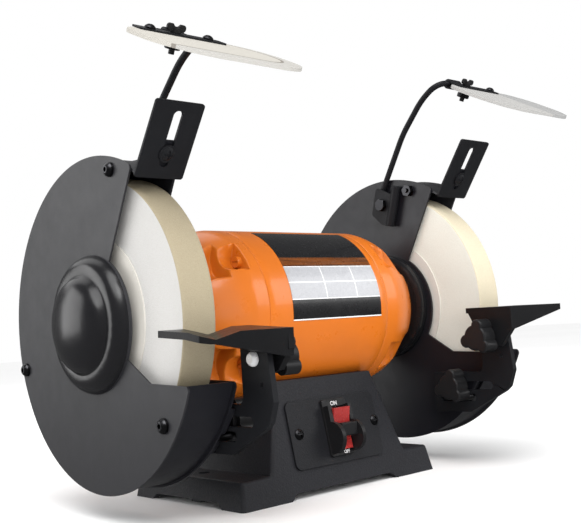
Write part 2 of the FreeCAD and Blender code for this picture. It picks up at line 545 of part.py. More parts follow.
# ---------------------------------------------------------------- rests
br = prism([(-135, -31), (-138, -58), (-133, -71), (-128.5, -74.7), (-93.3, -92), (-57, -92), (-57, -59.3), (-108.5, -59.3), (-108.4, -31)], BRACKET_X0, BRACKET_X1)
xm = 0.5 * (BRACKET_X0 + BRACKET_X1)
br = rounded(br, 5.0, lambda e: abs(e.CenterOfMass.x - xm) < 0.01 and abs(e.CenterOfMass.y + 108.5) < 0.1 and abs(e.CenterOfMass.z - H + 59.3) < 0.1)
br = rounded(br, 2.5, lambda e: abs(e.CenterOfMass.x - xm) < 0.01 and e.CenterOfMass.z < H - 55 and e.CenterOfMass.y < -110)
br = fuse(br, cylx(13.3, BRACKET_X0, BRACKET_X1, PIVOT_Y, PIVOT_Z), prism([(-121.7, -31), (-108.4, -31), (-108.4, -22.0), (-112.2, -17.9), (-121.7, -17.7)], BRACKET_X0, BRACKET_X1))


def slot_x(y0, y1, z, w, x0, x1):
    r = w / 2.0
    return fuse(prism([(y0 + r, z - r), (y1 - r, z - r), (y1 - r, z + r), (y0 + r, z + r)], x0, x1), cylx(r, x0, x1, y0 + r, z), cylx(r, x0, x1, y1 - r, z))


br = cut(br, slot_x(-117, -70.5, SLIDE_Z, 6.8, 120, 130), slot_x(-99.5, -63, PIN_Z, 6.6, 120, 130))
br = cut(br, cylx(PIVOT_R + 0.05, 120, 130, PIVOT_Y, PIVOT_Z), cylx(1.5, 120, 130, -127.5, -47.3))
both("rest_bracket", br)


def tool_rest(z_back, z_front, groove):
    tilt = math.atan2(z_back - z_front, REST_Y_BACK - REST_Y_FRONT)
    n = V(0, -math.sin(tilt), math.cos(tilt))
    t = V(0, -math.cos(tilt), -math.sin(tilt))
    length = (REST_Y_BACK - REST_Y_FRONT) / math.cos(tilt)
    pl = frame(V(0, REST_Y_BACK, H + z_back), V(1, 0, 0), n, t)     # x, n up from the top face, t forwards
    top = box(REST_X0, REST_X1, -REST_T, 0, 0, length)
    if groove:
        a = V(146.4, 0, 0)
        d = V(173.0 - 146.4, 0, length).normalize()
        w = V(d.z, 0, -d.x)
        up = V(0, 1, 0)

        def bar(pts):
            o = a - d * 30
            return face3([o + w * p + up * q for p, q in pts]).extrude(d * (length + 80))
        ridge = bar([(-17.5, -1.0), (-17.5, -REST_T), (-3.0, -6.7), (3.0, -6.7), (17.5, -REST_T), (17.5, -1.0)])
        top = fuse(top, ridge.common(box(REST_X0, REST_X1, -9, 1, 0, length)))
        top = cut(top, bar([(-15.5 * 1.5, 2.1), (0, -4.2), (15.5 * 1.5, 2.1)]))
    web = face3([V(x, y, length - 5) for x, y in ((REST_X0, -1), (REST_X1, -1), (REST_X1, -4.5), (118.5, -17.5), (REST_X0, -17.5))]).extrude(V(0, 0, 5))
    if groove:
        web = cut(web, bar([(-15.5 * 1.5, 2.1), (0, -4.2), (15.5 * 1.5, 2.1)]))
    body = put(fuse(top, web), pl)
    cheek = prism([(-103.4, z_back - 1.5), (-110, -21.4), (-113.6, -34), (-118, -39.6), (-128, -40.4), (-134.6, -38.8), (-145.8, -25.4), (-145.8, z_front - 1.5)], REST_X0, 118.0)
    body = fuse(body, cheek, cylx(8.5, 117.5, 121.9, PIVOT_Y, PIVOT_Z))
    body = rounded(body, 1.2, lambda e: e.CenterOfMass.x > 183 and e.Length < 5)
    return cut(body, cylx(PIVOT_R, 100, 125, PIVOT_Y, PIVOT_Z))


save("right_tool_rest", tool_rest(-7.3, -8.3, False))
save("left_tool_rest", mir(tool_rest(-9.6, -12.9, True)))

dome = Part.makeSphere(5.2, V(126.0, PIVOT_Y, H + PIVOT_Z)).common(cylx(4.8, 126.6, 130.2, PIVOT_Y, PIVOT_Z))
pb = fuse(cylx(PIVOT_R, 100, 127, PIVOT_Y, PIVOT_Z), dome)
both("rest_pivot_bolt", pb)


def knob(x_face, x_out, y, z, bore, collar):
    x0, x1 = x_out, x_face - 3.0
    k = cylx(10.2, x0, x1, y, z)
    for i in range(3):
        a = math.radians(105 + 120 * i)
        k = k.fuse(cylx(5.2, x0, x1, y + 9.4 * math.cos(a), z + 9.4 * math.sin(a)))
    k = k.removeSplitter()
    k = rounded(k, 1.6, lambda e: abs(e.CenterOfMass.x - x0) < 0.05)
    k = fuse(k, cylx(collar, x1, x_face, y, z))
    if bore:
        k = cut(k, cylx(bore, x0 + 3.0, x_face + 1, y, z))
    return k


both("rest_tilt_knob", knob(113.1, 96.5, PIVOT_Y, PIVOT_Z, PIVOT_R + 0.05, 8.0))
sk = fuse(knob(121.9, 105.5, SLIDE_Y, SLIDE_Z, 0, 6.8), cylx(3.0, 121, 131.0, SLIDE_Y, SLIDE_Z))
both("rest_slide_knob", sk)

# ---------------------------------------------------------------- shield arms
rod = bent_rod([(ROD_X, 0.5, H + 91.6), (ROD_X, -36, H + 150.5), (ROD_X, -60, H + 176), (ROD_X, ROD_PIN_Y, H + ROD_TOP_Z), (162.0, ROD_PIN_Y, H + ROD_TOP_Z)], [90, 60, 12], ROD_R)
strap = prism([(-3.5, 108), (4.0, 84), (-7.0, 73.5), (-13.6, 71.5), (-24.8, 105.5), (-20.0, 99.5)], 125.6, 127.6)
strap = rounded(strap, 3.0, lambda e: abs(e.CenterOfMass.x - 126.6) < 0.01 and e.CenterOfMass.y > -10)
b0, b1 = V(128.6, -14.5, H + 71.5), V(128.6, -25.5, H + 106.0)
bd = (b1 - b0)
barrel = Part.makeCylinder(4.0, bd.Length, b0, bd)
barrel = rounded(barrel, 0.8, lambda e: True)
strap = fuse(strap, barrel)
strap = cut(strap, cylx(3.05, 120, 130, CLAMP_Y, CLAMP_Z))
save("right_shield_arm", rod)
save("right_rod_clamp", strap)
save("left_shield_arm", turned(mir(rod), CLAMP_Y, CLAMP_Z, LEFT_ROD_TURN))
save("left_rod_clamp", mir(strap))
clb = fuse(hexx(10.0, 121.5, 125.5, CLAMP_Y, CLAMP_Z, 20), cylx(3.0, 125.2, 135.6, CLAMP_Y, CLAMP_Z))
clb = cut(clb, cut(cylx(9, 120.5, 122.3, CLAMP_Y, CLAMP_Z), revx([(120.5, 0), (120.5, 4.0), (122.3, 5.6), (122.3, 0)], CLAMP_Y, CLAMP_Z)))
save("shield_clamp_bolts", clb, mir(clb))


# ---------------------------------------------------------------- eye shields
def shield_plate(cx):
    x0, x1 = cx - SHIELD_W / 2.0, cx + SHIELD_W / 2.0
    t = SHIELD_T / 2.0
    s = box(x0, x1, -t, t, SHIELD_B0, SHIELD_B0 + SHIELD_L)
    mid = SHIELD_B0 + SHIELD_L / 2.0
    up = [e for e in s.Edges if abs(e.Length - SHIELD_T) < 1e-6]
    s = s.makeFillet(SHIELD_CR, [e for e in up if e.CenterOfMass.z > mid])
    up = [e for e in s.Edges if abs(e.Length - SHIELD_T) < 1e-6 and abs(e.CenterOfMass.z - SHIELD_B0) < 1e-6]
    return s.makeFillet(SHIELD_BACK_CR, up)


def shield_parts(cx, strip_x, screw_x, wing_x):
    b_s = SCREW_B
    plate = shield_plate(cx)
    strip = box(strip_x[0], strip_x[1], 1.2, 2.4, STRIP_B0, STRIP_B0 + 12.2)
    strip = rounded(strip, 2.0, lambda e: abs(e.Length - 1.2) < 0.01)
    leaf = fuse(box(143.2, 157.2, 1.2, 2.4, 0.5, STRIP_B0 + 1.0), box(143.2, 162.0, -3.0, -1.2, 0.5, STRIP_B0 + 12.2), cyl((143.2, 0, 0), (1, 0, 0), 4.2, 14))
    brk = fuse(strip, leaf)
    brk = cut(brk, cyl((135, 0, 0), (1, 0, 0), 2.55, 35), box(135, 170, -1.2, 1.2, 1.6, 20))
    items = []
    for x in screw_x:
        brk = cut(brk, cyl((x, -9, b_s), (0, 1, 0), 1.75, 20))
        plate = cut(plate, cyl((x, -9, b_s), (0, 1, 0), 1.75, 20))
        hd = Part.makeSphere(4.4, V(x, 0.8, b_s)).common(cyl((x, 2.4, b_s), (0, 1, 0), 3.6, 6))
        hd = cut(hd, box(x - 2.2, x + 2.2, 4.0, 9, b_s - 0.45, b_s + 0.45), box(x - 0.45, x + 0.45, 4.0, 9, b_s - 2.2, b_s + 2.2))
        items.append(fuse(hd, cyl((x, -4.6, b_s), (0, 1, 0), 1.75, 7.4)))
        nt = Part.Face(Part.makePolygon([V(x + 3.5 * math.cos(math.radians(60 * i)), -3.6, b_s + 3.5 * math.sin(math.radians(60 * i))) for i in range(7)])).extrude(V(0, 2.4, 0))
        items.append(cut(nt, cyl((x, -9, b_s), (0, 1, 0), 1.75, 20)))
    brk = cut(brk, cyl((wing_x, -9, b_s), (0, 1, 0), 2.05, 20))
    plate = cut(plate, cyl((wing_x, -9, b_s), (0, 1, 0), 2.6, 20))
    gn = fuse(cyl((wing_x, -8.0, b_s), (0, 1, 0), 5.2, 3.4), cyl((wing_x, -4.8, b_s), (0, 1, 0), 4.0, 1.8))
    gn = rounded(gn, 0.8, lambda e: abs(e.CenterOfMass.y + 8.0) < 0.05)
    gn = cut(gn, cyl((wing_x, -20, b_s), (0, 1, 0), 2.05, 30))
    items.append(gn)
    wing = fuse(cyl((wing_x, -11.2, b_s), (0, 1, 0), 2.0, 14.0), cyl((wing_x, 2.46, b_s), (0, 1, 0), 3.4, 3.4))
    ear = box(wing_x - 7.0, wing_x + 7.0, 3.6, 8.2, b_s - 1.1, b_s + 1.1)
    ear = rounded(ear, 2.0, lambda e: abs(e.Length - 2.2) < 0.01)
    ear = cut(ear, cyl((wing_x, 9.6, b_s - 5), (0, 0, 1), 3.2, 10))
    wing = fuse(wing, ear)
    return plate, brk, items, wing


def shield_frame(y, z, tilt):
    a = math.radians(tilt)
    n = V(0, -math.sin(a), math.cos(a))
    b = V(0, -math.cos(a), -math.sin(a))
    return frame(V(0, y, z), V(1, 0, 0), n, b)


p, b, it, w = shield_parts(SHIELD_CX_R, (141.0, 197.0), (190.0,), 156.0)
pl = shield_frame(ROD_PIN_Y, H + ROD_TOP_Z, SHIELD_TILT_R)
save("right_eye_shield", put(p, pl))
save("right_shield_bracket", put(b, pl))
save("right_shield_screws", *[put(i, pl) for i in it])
save("right_shield_thumbscrew", put(w, pl))

t = math.radians(LEFT_ROD_TURN)
dy, dz = ROD_PIN_Y - CLAMP_Y, ROD_TOP_Z - CLAMP_Z
LEFT_PIN_Y = CLAMP_Y + dy * math.cos(t) - dz * math.sin(t)
LEFT_PIN_Z = CLAMP_Z + dy * math.sin(t) + dz * math.cos(t)
p, b, it, w = shield_parts(SHIELD_CX_L, (116.5, 183.5), (128.7, 173.5), 154.5)
pl = shield_frame(LEFT_PIN_Y, H + LEFT_PIN_Z, SHIELD_TILT_L)
save("left_eye_shield", mir(put(p, pl)))
save("left_shield_bracket", mir(put(b, pl)))
save("left_shield_screws", *[mir(put(i, pl)) for i in it])
save("left_shield_thumbscrew", mir(put(w, pl)))

print("nodes", len(made), "solids", sum(made.values()))
for k in sorted(made):
    if made[k] != 1:
        print(k, made[k])
print("left pin", LEFT_PIN_Y, LEFT_PIN_Z)
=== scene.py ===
import bpy
import bmesh
import json
import math
from mathutils import Matrix, Vector


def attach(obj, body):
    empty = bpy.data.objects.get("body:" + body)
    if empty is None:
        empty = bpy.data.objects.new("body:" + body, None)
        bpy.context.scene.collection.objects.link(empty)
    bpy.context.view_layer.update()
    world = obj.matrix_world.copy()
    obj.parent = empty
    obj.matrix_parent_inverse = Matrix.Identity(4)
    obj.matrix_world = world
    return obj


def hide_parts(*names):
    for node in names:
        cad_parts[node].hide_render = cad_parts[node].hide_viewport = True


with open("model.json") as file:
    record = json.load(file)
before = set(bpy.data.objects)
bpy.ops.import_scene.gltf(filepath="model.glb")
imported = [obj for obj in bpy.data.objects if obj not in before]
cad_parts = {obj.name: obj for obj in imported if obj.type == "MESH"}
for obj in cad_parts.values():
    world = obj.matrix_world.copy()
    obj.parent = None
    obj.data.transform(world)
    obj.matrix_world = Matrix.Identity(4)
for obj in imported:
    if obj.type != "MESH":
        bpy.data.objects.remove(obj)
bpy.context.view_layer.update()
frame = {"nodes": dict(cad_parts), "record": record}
NODES = frame["nodes"]
BODY = {n: b for b, ns in frame["record"]["behaviour"]["bodies"].items() for n in ns}
MM = 0.001
H = 136.5          # shaft height, mm
scene = bpy.context.scene


# ------------------------------------------------------------------ material helpers
class Mat:
    def __init__(self, name):
        self.m = bpy.data.materials.new(name)
        self.m.use_nodes = True
        self.t = self.m.node_tree
        self.b = self.t.nodes["Principled BSDF"]
        self.co = self.t.nodes.new("ShaderNodeTexCoord").outputs["Object"]

    def node(self, kind, **kw):
        n = self.t.nodes.new(kind)
        for k, v in kw.items():
            setattr(n, k, v)
        return n

    def link(self, a, b):
        self.t.links.new(a, b)

    def set(self, **kw):
        names = {"base": "Base Color", "metal": "Metallic", "rough": "Roughness", "ior": "IOR", "alpha": "Alpha", "coat": "Coat Weight", "coat_rough": "Coat Roughness",
                 "trans": "Transmission Weight", "spec": "Specular IOR Level", "sss": "Subsurface Weight", "sheen": "Sheen Weight"}
        for k, v in kw.items():
            s = self.b.inputs[names[k]]
            s.default_value = (*v, 1.0) if isinstance(v, tuple) and len(v) == 3 else v
        return self

    def noise(self, scale, detail=4.0, rough=0.55, stretch=None, vec=None):
        n = self.node("ShaderNodeTexNoise")
        n.inputs["Scale"].default_value = scale
        n.inputs["Detail"].default_value = detail
        n.inputs["Roughness"].default_value = rough
        v = vec or self.co
        if stretch:
            mp = self.node("ShaderNodeMapping")
            mp.inputs["Scale"].default_value = stretch
            self.link(v, mp.inputs["Vector"])
            v = mp.outputs["Vector"]
        self.link(v, n.inputs["Vector"])
        return n.outputs["Fac"]

    def voronoi(self, scale, feature="F1", out="Distance", rand=1.0):
        n = self.node("ShaderNodeTexVoronoi", feature=feature)
        n.inputs["Scale"].default_value = scale
        n.inputs["Randomness"].default_value = rand
        self.link(self.co, n.inputs["Vector"])
        return n.outputs[out]

    def ramp(self, fac, stops, mode="LINEAR"):
        n = self.node("ShaderNodeValToRGB")
        n.color_ramp.interpolation = mode
        el = n.color_ramp.elements
        while len(el) < len(stops):
            el.new(0.5)
        for e, (p, c) in zip(el, stops):
            e.position = p
            e.color = (c, c, c, 1.0) if not isinstance(c, tuple) else (*c, 1.0)
        self.link(fac, n.inputs["Fac"])
        return n.outputs["Color"]

    def math(self, op, a, b=None, c=None, clamp=False):
        n = self.node("ShaderNodeMath", operation=op, use_clamp=clamp)
        for i, v in enumerate((a, b, c)):
            if v is None:
                continue
            if isinstance(v, (int, float)):
                n.inputs[i].default_value = v
            else:
                self.link(v, n.inputs[i])
        return n.outputs[0]

    def mix(self, fac, a, b, blend="MIX"):
        n = self.node("ShaderNodeMix", data_type="RGBA", blend_type=blend)
        for i, v in ((0, fac), (6, a), (7, b)):
            if isinstance(v, (int, float)):
                n.inputs[i].default_value = v
            elif isinstance(v, tuple):
                n.inputs[i].default_value = (*v, 1.0)
            else:
                self.link(v, n.inputs[i])
        return n.outputs[2]

    def xyz(self):
        n = self.node("ShaderNodeSeparateXYZ")
        self.link(self.co, n.inputs[0])
        return n.outputs

    def bump(self, height, strength, dist, normal=None):
        n = self.node("ShaderNodeBump")
        n.inputs["Strength"].default_value = strength
        n.inputs["Distance"].default_value = dist
        self.link(height, n.inputs["Height"])
        if normal is not None:
            self.link(normal, n.inputs["Normal"])
        return n.outputs["Normal"]

    def base(self, sock):
        self.link(sock, self.b.inputs["Base Color"])

    def rough(self, sock):
        self.link(sock, self.b.inputs["Roughness"])

    def normal(self, sock):
        self.link(sock, self.b.inputs["Normal"])


def tint(c, k):
    return tuple(max(0.0, min(1.0, v * k)) for v in c)


def paint(name, col, rough=0.35, peel=0.12, scale=1100.0, coat=0.0, vary=0.10, dust=0.0, metal=0.0, spec=0.5):
    """Sprayed paint: slow tone drift, fine peel, faint rub marks in the gloss."""
    m = Mat(name)
    m.set(metal=metal, coat=coat, coat_rough=0.08, spec=spec)
    slow = m.noise(22.0, 3.0)
    tone = m.ramp(slow, [(0.25, tint(col, 1.0 - vary)), (0.75, tint(col, 1.0 + vary))])
    if dust > 0:
        d = m.ramp(m.noise(260.0, 6.0, 0.7), [(0.60, 0.0), (0.82, 1.0)])
        f = m.math("MULTIPLY", d, dust)
        tone = m.mix(f, tone, tint(tuple(v + 0.05 for v in col), 1.5))
    m.base(tone)
    rub = m.noise(65.0, 5.0, 0.65)
    m.rough(m.ramp(rub, [(0.3, max(0.02, rough - 0.05)), (0.75, rough + 0.07)]))
    fine = m.noise(scale, 2.0, 0.5)
    n1 = m.bump(fine, peel, 0.0004)
    wave = m.noise(120.0, 2.0)
    m.normal(m.bump(wave, peel * 0.35, 0.0006, n1))
    return m.m


def powder(name, col, rough=0.55, strength=0.55, scale=900.0, spec=0.5):
    """Textured powder coat: packed little grains, matt in the hollows."""
    m = Mat(name)
    m.set(spec=spec)
    g = m.noise(scale, 3.0, 0.6)
    v = m.voronoi(scale * 0.75)
    h = m.math("ADD", m.math("MULTIPLY", g, 0.7), m.math("MULTIPLY", v, 0.6))
    slow = m.noise(14.0, 4.0)
    tone = m.ramp(slow, [(0.2, tint(col, 0.86)), (0.8, tint(col, 1.14))])
    spot = m.ramp(g, [(0.35, 0.0), (0.75, 1.0)])
    m.base(m.mix(m.math("MULTIPLY", spot, 0.35), tone, tint(col, 1.6)))
    m.rough(m.ramp(g, [(0.3, rough + 0.1), (0.7, rough - 0.1)]))
    m.normal(m.bump(h, strength, 0.00035))
    return m.m


def steel(name, col, rough=0.3, lines=(1, 1, 1), scale=300.0, strength=0.1, metal=1.0):
    """Plated or machined steel with drawn lines and small stains."""
    m = Mat(name)
    m.set(metal=metal)
    ln = m.noise(scale, 5.0, 0.7, stretch=lines)
    stain = m.noise(90.0, 5.0, 0.7)
    tone = m.ramp(ln, [(0.25, tint(col, 0.82)), (0.75, tint(col, 1.12))])
    m.base(m.mix(m.ramp(stain, [(0.55, 0.0), (0.85, 0.5)]), tone, tint(col, 0.6)))
    m.rough(m.ramp(ln, [(0.2, rough - 0.08), (0.8, rough + 0.12)]))
    m.normal(m.bump(ln, strength, 0.0002))
    return m.m


def plastic(name, col, rough=0.4, grain=0.25, scale=1600.0, coat=0.0, spec=0.5):
    """Moulded plastic with spark-eroded grain."""
    m = Mat(name)
    m.set(coat=coat, coat_rough=0.12, spec=spec)
    slow = m.noise(35.0, 4.0)
    m.base(m.ramp(slow, [(0.25, tint(col, 0.85)), (0.78, tint(col, 1.18))]))
    g = m.noise(scale, 3.0, 0.6)
    m.rough(m.ramp(m.noise(180.0, 5.0), [(0.3, rough - 0.06), (0.75, rough + 0.1)]))
    m.normal(m.bump(g, grain, 0.00025))
    return m.m


def abrasive(name, col, dark, strength=0.6, glaze=0.0):
    """Bonded grain: packed crystals, pores, and a few dark grains."""
    m = Mat(name)
    fine = m.noise(1400.0, 4.0, 0.7)
    cell = m.voronoi(1500.0)
    slow = m.noise(16.0, 5.0)
    tone = m.ramp(slow, [(0.25, tint(col, 0.95)), (0.8, tint(col, 1.04))])
    grain = m.ramp(fine, [(0.38, 1.0), (0.56, 0.0)])
    tone = m.mix(m.math("MULTIPLY", grain, 0.30), tone, dark)
    speck = m.ramp(m.voronoi(420.0), [(0.0, 1.0), (0.10, 0.0)])
    tone = m.mix(m.math("MULTIPLY", speck, 0.35), tone, tint(dark, 0.7))
    m.base(tone)
    m.rough(m.ramp(fine, [(0.3, 0.95), (0.7, 0.75)]))
    h = m.math("SUBTRACT", fine, m.math("MULTIPLY", cell, 0.5))
    m.normal(m.bump(h, strength, 0.0004))
    return m.m


def paper(name, col):
    m = Mat(name)
    fib = m.noise(420.0, 6.0, 0.75, stretch=(1, 1, 0.25))
    slow = m.noise(40.0, 3.0)
    tone = m.ramp(slow, [(0.25, tint(col, 0.95)), (0.75, tint(col, 1.03))])
    m.base(m.mix(m.math("MULTIPLY", m.ramp(fib, [(0.45, 0.0), (0.8, 1.0)]), 0.25), tone, tint(col, 0.82)))
    m.rough(m.ramp(fib, [(0.3, 0.65), (0.8, 0.85)]))
    m.normal(m.bump(fib, 0.15, 0.0002))
    return m.m


def sheet_plastic(name, film, bare, edge_x, py, pz, tilt, b_line, b_back, b_front, rad):
    """Shield sheet: milky film over most of it, a rounded bare margin beyond the film's edge. Both base tones are pale
    partly for the sheet's and film's own colour and partly as painted reflection of the white surroundings seen at
    grazing angles.
    """
    m = Mat(name)
    m.set(ior=1.49, spec=0.0)
    x, y, z = m.xyz()
    t = math.radians(tilt)
    b = m.math("ADD", m.math("MULTIPLY", m.math("SUBTRACT", y, py), -math.cos(t)), m.math("MULTIPLY", m.math("SUBTRACT", z, pz), -math.sin(t)))
    ex = m.math("MAXIMUM", m.math("SUBTRACT", x, edge_x - rad), 0.0)
    bm_ = 0.5 * (b_back + b_front)
    eb = m.math("MAXIMUM", m.math("SUBTRACT", m.math("ABSOLUTE", m.math("SUBTRACT", b, bm_)), 0.5 * (b_front - b_back) - rad), 0.0)
    d = m.math("SUBTRACT", m.math("SQRT", m.math("ADD", m.math("MULTIPLY", ex, ex), m.math("MULTIPLY", eb, eb))), rad)
    inside = m.math("LESS_THAN", d, 0.0)
    rim = m.math("LESS_THAN", m.math("ABSOLUTE", d), b_line)
    slow = m.noise(18.0, 4.0)
    fa = m.ramp(slow, [(0.25, tint(film, 0.97)), (0.75, tint(film, 1.02))])
    ba = m.ramp(slow, [(0.25, tint(bare, 0.96)), (0.75, tint(bare, 1.03))])
    # film and margin tones: partly own colour, partly painted reflection of the white surroundings
    tone = m.mix(inside, ba, fa)
    m.base(m.mix(m.math("MULTIPLY", rim, 0.75), tone, (0.16, 0.14, 0.12)))
    scr = m.noise(240.0, 6.0, 0.75, stretch=(0.15, 1.0, 1.0))
    m.rough(m.ramp(scr, [(0.35, 0.30), (0.8, 0.34)]))
    m.normal(m.bump(scr, 0.003, 0.0001))
    return m.m


def cover_paint(name, flat, dome, spec=0.42, satin=(0.40, 0.50), gloss=(0.21, 0.28), rad=0.0478, cy=-0.0030, cz=0.1345):
    """Satin sheet-metal paint; the pressed dome or collar carries a deeper gloss coat and its own base tone. On the
    guard covers the dome tone is darker than the flat plate of the same paint: painted shade.
    """
    m = Mat(name)
    m.set(spec=spec)
    x, y, z = m.xyz()
    dy = m.math("SUBTRACT", y, cy)
    dz = m.math("SUBTRACT", z, cz)
    r = m.math("SQRT", m.math("ADD", m.math("MULTIPLY", dy, dy), m.math("MULTIPLY", dz, dz)))
    on = m.math("LESS_THAN", r, rad)
    slow = m.noise(20.0, 3.0)
    a = m.ramp(slow, [(0.25, tint(flat, 0.94)), (0.75, tint(flat, 1.06))])
    b = m.ramp(slow, [(0.25, tint(dome, 0.85)), (0.75, tint(dome, 1.15))])
    dust = m.ramp(m.noise(300.0, 6.0, 0.7), [(0.62, 0.0), (0.84, 1.0)])
    a = m.mix(m.math("MULTIPLY", dust, 0.05), a, tint(flat, 2.2))
    # base tone switches to the dome tone inside the dome radius; on the guard covers that darker dome tone is painted
    # shade
    m.base(m.mix(on, a, b))
    rub = m.noise(65.0, 5.0, 0.65)
    ra = m.ramp(rub, [(0.3, satin[0]), (0.75, satin[1])])
    rb = m.ramp(rub, [(0.3, gloss[0]), (0.75, gloss[1])])
    m.rough(m.mix(on, ra, rb))
    fine = m.noise(1300.0, 2.0, 0.5)
    m.normal(m.bump(fine, 0.10, 0.0003))
    return m.m


def label(name):
    """Printed film with plain colour bands and a ruled grid, no wording."""
    m = Mat(name)
    m.set(coat=0.25, coat_rough=0.10, spec=0.35)
    x, y, z = m.xyz()
    ang = m.math("MULTIPLY", m.math("ARCTAN2", m.math("SUBTRACT", z, 0.1365), m.math("MULTIPLY", y, -1.0)), 57.29578)
    fib = m.noise(900.0, 3.0, 0.6)
    tone = m.ramp(fib, [(0.3, (0.007, 0.007, 0.008)), (0.7, (0.012, 0.012, 0.013))])

    def band(lo, hi):
        return m.math("MULTIPLY", m.math("GREATER_THAN", ang, lo), m.math("LESS_THAN", ang, hi))

    def line(v, at, half):
        return m.math("LESS_THAN", m.math("ABSOLUTE", m.math("SUBTRACT", v, at)), half)

    streak = m.noise(70.0, 3.0, 0.6, stretch=(0.25, 6.0, 6.0))
    brown = m.ramp(streak, [(0.30, (0.040, 0.012, 0.003)), (0.62, (0.17, 0.050, 0.010)), (0.85, (0.34, 0.11, 0.02))])
    tone = m.mix(band(30.0, 37.0), tone, brown)
    grey = m.ramp(fib, [(0.3, (0.36, 0.365, 0.385)), (0.7, (0.43, 0.435, 0.455))])
    tone = m.mix(band(6.3, 29.4), tone, grey)
    rule = m.math("MAXIMUM", m.math("MAXIMUM", line(x, -0.0040, 0.0004), line(x, 0.0285, 0.0004)), line(ang, 17.8, 0.36))
    rule = m.math("MULTIPLY", rule, band(6.3, 29.4))
    edge = m.math("MAXIMUM", m.math("MAXIMUM", line(ang, 29.4, 0.30), line(ang, 6.3, 0.30)), line(ang, -7.1, 0.42))
    white = m.ramp(fib, [(0.3, (0.72, 0.72, 0.73)), (0.7, (0.82, 0.82, 0.83))])
    tone = m.mix(m.math("MAXIMUM", rule, edge), tone, white)
    m.base(tone)
    m.rough(m.ramp(m.noise(120.0, 4.0), [(0.3, 0.22), (0.8, 0.36)]))
    m.normal(m.bump(fib, 0.03, 0.0002))
    return m.m


MATS = {
    "orange": paint("orange_gloss", (0.600, 0.147, 0.0108), 0.30, 0.10, 900.0, coat=0.20, vary=0.05, spec=0.40),
    # guard covers: the darker dome tone is painted shade; the real cover is one paint
    "cover": cover_paint("satin_cover_dome_painted_shade", (0.0205, 0.0205, 0.0235), (0.0090, 0.0090, 0.0102)),
    "guard": cover_paint("satin_black", (0.0098, 0.0099, 0.0130), (0.0098, 0.0098, 0.0108), 0.34, (0.33, 0.45), (0.14, 0.20), 0.0462, 0.0, 0.1365),
    "black": paint("flat_black", (0.0112, 0.0116, 0.0134), 0.44, 0.18, 1300.0, vary=0.15, dust=0.010, spec=0.14),
    "base": powder("textured_charcoal", (0.0146, 0.0149, 0.0178), 0.56, 0.5, 900.0, spec=0.28),
    "panel": powder("textured_panel", (0.0102, 0.0105, 0.0125), 0.5, 0.35, 1200.0, spec=0.26),
    "rest": paint("cast_black", (0.0075, 0.0076, 0.0084), 0.36, 0.30, 900.0, vary=0.15, dust=0.015, spec=0.18),
    "zinc": steel("zinc_plate", (0.46, 0.46, 0.47), 0.32),
    "dark": steel("black_oxide", (0.040, 0.040, 0.043), 0.36),
    "label": label("label_film"),
    "bolt": steel("blued_steel", (0.052, 0.052, 0.056), 0.28),
    # rest pivot-bolt heads: the near-white base colour on a mostly non-metal steel is painted highlight
    "pin": steel("steel_pin_painted_highlight", (0.86, 0.86, 0.87), 0.22, strength=0.04, metal=0.35),
    "bright": steel("polished_steel", (0.66, 0.66, 0.67), 0.16, strength=0.04),
    "ground": steel("ground_steel", (0.55, 0.55, 0.56), 0.24, lines=(6, 1, 1)),
    "mark": plastic("white_print", (0.78, 0.78, 0.78), 0.5, 0.1),
    "plastic": plastic("black_plastic", (0.0104, 0.0104, 0.0112), 0.40, spec=0.28),
    "gland": plastic("gland_plastic", (0.016, 0.016, 0.017), 0.5),
    "rocker": plastic("red_plastic", (0.33, 0.026, 0.024), 0.26, 0.08, 900.0, coat=0.3),
    "side_l": abrasive("wheel_side_coarse", (0.545, 0.536, 0.520), (0.44, 0.42, 0.39), 0.40),
    "rim_l": abrasive("wheel_rim_coarse", (0.385, 0.330, 0.225), (0.265, 0.215, 0.14), 0.8),
    "side_r": abrasive("wheel_side_fine", (0.72, 0.725, 0.655), (0.58, 0.555, 0.48), 0.30),
    "rim_r": abrasive("wheel_rim_fine", (0.68, 0.61, 0.455), (0.46, 0.39, 0.27), 0.7),
    "paper": paper("pressed_paper", (0.60, 0.575, 0.525)),
    # shield sheets: pale base tones are partly film colour, partly painted reflection of the white surroundings
    "shield_l": sheet_plastic("filmed_sheet_painted_reflection_left", (0.462, 0.443, 0.404), (0.425, 0.414, 0.390), -0.0915, -0.08816, 0.31766, 27.1, 0.0011, 0.004, 0.064, 0.030),
    "shield_r": sheet_plastic("filmed_sheet_painted_reflection_right", (0.390, 0.385, 0.374), (0.322, 0.322, 0.319), 0.1965, -0.0800, 0.3242, 29.1, 0.00012, -0.050, 0.120, 0.016),
    "copper": steel("lacquered_copper", (0.50, 0.19, 0.06), 0.35, lines=(1, 8, 8), scale=500.0, strength=0.4),
    "core": steel("laminations", (0.30, 0.30, 0.31), 0.45, lines=(40, 0.5, 0.5), scale=60.0, strength=0.4),
    "can": steel("aluminium_can", (0.62, 0.62, 0.62), 0.3, lines=(0.3, 1, 1)),
}

